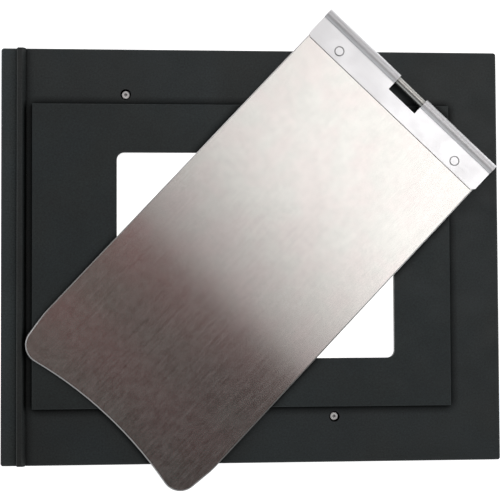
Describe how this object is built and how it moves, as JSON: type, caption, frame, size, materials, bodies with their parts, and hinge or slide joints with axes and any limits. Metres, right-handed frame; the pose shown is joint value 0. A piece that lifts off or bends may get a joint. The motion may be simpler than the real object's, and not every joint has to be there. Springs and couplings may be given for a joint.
{
  "type": "sheet film holder",
  "caption": "Flat black large-format holder frame with an open exposure window, raised panel and light-lock rib, and its brushed steel dark slide laid diagonally across the face.",
  "frame": {"origin": "on the optical axis, through the middle of the exposure window, in the plane of the rear rails' lower faces that the holder rests on", "axes": "+X from the slide mouth and its rib to the closed end, +Y up the frame, +Z out of the front face towards the lens"},
  "size_m": [0.1458, 0.1401, 0.013],
  "materials": {
    "black_finish": "matt black anodised",
    "blade_steel": "brushed along its length",
    "handle_aluminium": "satin, folded sheet",
    "rod_steel": "drawn",
    "screw_steel": "bright",
    "black_screw": "blackened steel",
    "velvet": "short black pile",
    "spring_steel": "tempered blue-grey"
  },
  "bodies": {
    "frame": {"front_plate": "black_finish", "raised_panel": "black_finish", "locating_rib": "black_finish", "upper_channel_strip": "black_finish", "lower_channel_strip": "black_finish", "end_strip": "black_finish", "rear_plate": "black_finish", "rear_light_seal": "velvet", "upper_rear_rail": "black_finish", "lower_rear_rail": "black_finish", "front_velvet": "velvet", "flap_pin": "screw_steel", "flap_springs": "spring_steel", "rail_screws": "screw_steel", "plate_screws": "black_screw", "panel_screws": "black_screw"},
    "light_trap": {"trap_flap": "spring_steel", "flap_velvet": "velvet"},
    "dark_slide": {"slide_blade": "blade_steel", "slide_handle": "handle_aluminium", "handle_rod": "rod_steel", "handle_rivets": "handle_aluminium"}
  },
  "joints": [
    {"name": "dark_slide_lift", "type": "slide", "parent": "frame", "child": "dark_slide", "axis": [0, 0, 1], "range_m": [0, 0.06]},
    {"name": "light_trap_hinge", "type": "hinge", "parent": "frame", "child": "light_trap", "pos_m": [-0.0635, 0, 0.0043], "axis": [0, -1, 0], "range_deg": [0, 4], "stiffness_Nm_per_rad": 0.005, "springref_deg": -17.19, "deforming": ["flap_springs"]}
  ]
}
